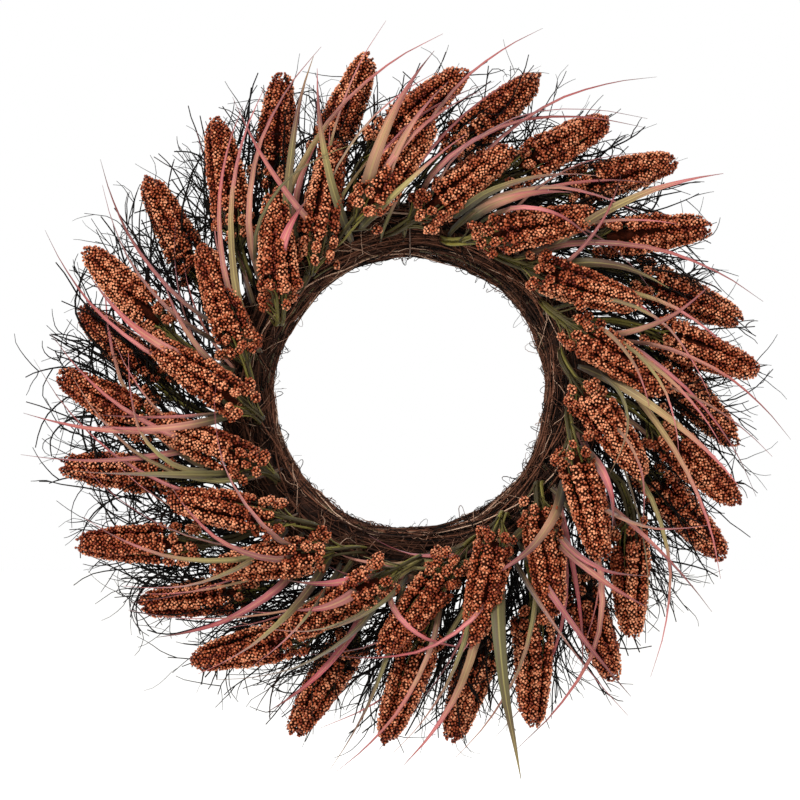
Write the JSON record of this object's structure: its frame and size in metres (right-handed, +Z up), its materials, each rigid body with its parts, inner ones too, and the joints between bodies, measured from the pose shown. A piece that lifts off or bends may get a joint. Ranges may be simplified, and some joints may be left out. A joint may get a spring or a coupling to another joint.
{
  "type": "harvest door wreath",
  "caption": "Round door wreath: a twisted vine ring with rows of rust-brown sorghum seed heads swept clockwise, dark twigs, pink-green grass and a wire hanging loop.",
  "frame": {"origin": "where the hook bears inside the top of the wire hanging loop, behind the top of the ring", "axes": "+Z up, +Y from the front of the wreath towards the door, +X to the right as seen from the front"},
  "size_m": [0.6326, 0.1208, 0.6336],
  "materials": {
    "seed_beads": "small rust-brown beads with a soft sheen, packed on ribs with dark gaps",
    "vine_bark": "dark brown fibrous vine, dry and matte",
    "dark_twig": "fine black-brown twigs, matte",
    "grass_blade": "artificial grass blades, olive green at the root turning dusty pink at the tip",
    "hoop_wire": "plain steel wire, hidden",
    "tie_wire": "brown coated binding wire",
    "loop_wire": "bare galvanised wire, dull"
  },
  "bodies": {
    "wreath": {"wire_hoop": "hoop_wire", "vine_bundle_1": "vine_bark", "vine_bundle_2": "vine_bark", "vine_bundle_3": "vine_bark", "vine_bundle_4": "vine_bark", "sorghum_head_outer_01": "seed_beads", "sorghum_head_outer_02": "seed_beads", "sorghum_head_outer_03": "seed_beads", "sorghum_head_outer_04": "seed_beads", "sorghum_head_outer_05": "seed_beads", "sorghum_head_outer_06": "seed_beads", "sorghum_head_outer_07": "seed_beads", "sorghum_head_outer_08": "seed_beads", "sorghum_head_outer_09": "seed_beads", "sorghum_head_outer_10": "seed_beads", "sorghum_head_outer_11": "seed_beads", "sorghum_head_outer_12": "seed_beads", "sorghum_head_outer_13": "seed_beads", "sorghum_head_outer_14": "seed_beads", "sorghum_head_outer_15": "seed_beads", "sorghum_head_outer_16": "seed_beads", "sorghum_head_outer_17": "seed_beads", "sorghum_head_outer_18": "seed_beads", "sorghum_head_outer_19": "seed_beads", "sorghum_head_outer_20": "seed_beads", "sorghum_head_outer_21": "seed_beads", "sorghum_head_outer_22": "seed_beads", "sorghum_head_outer_23": "seed_beads", "sorghum_head_outer_24": "seed_beads", "sorghum_head_outer_25": "seed_beads", "sorghum_head_outer_26": "seed_beads", "sorghum_head_outer_27": "seed_beads", "sorghum_head_inner_01": "seed_beads", "sorghum_head_inner_02": "seed_beads", "sorghum_head_inner_03": "seed_beads", "sorghum_head_inner_04": "seed_beads", "sorghum_head_inner_05": "seed_beads", "sorghum_head_inner_06": "seed_beads", "sorghum_head_inner_07": "seed_beads", "sorghum_head_inner_08": "seed_beads", "sorghum_head_inner_09": "seed_beads", "sorghum_head_inner_10": "seed_beads", "sorghum_head_inner_11": "seed_beads", "sorghum_head_inner_12": "seed_beads", "sorghum_head_inner_13": "seed_beads", "sorghum_head_inner_14": "seed_beads", "sorghum_head_inner_15": "seed_beads", "sorghum_head_inner_16": "seed_beads", "sorghum_head_inner_17": "seed_beads", "sorghum_head_inner_18": "seed_beads", "twig_spray_1": "dark_twig", "twig_spray_2": "dark_twig", "twig_spray_3": "dark_twig", "twig_spray_4": "dark_twig", "grass_spray_1": "grass_blade", "grass_spray_2": "grass_blade", "grass_spray_3": "grass_blade", "grass_spray_4": "grass_blade", "hanger_tie": "tie_wire"},
    "hanging_loop": {"hanging_loop": "loop_wire"}
  },
  "joints": [
    {"name": "hanging_loop_swing", "type": "hinge", "parent": "wreath", "child": "hanging_loop", "pos_m": [0, 0, -0.0192], "axis": [1, 0, 0], "range_deg": [-150, 15]}
  ]
}
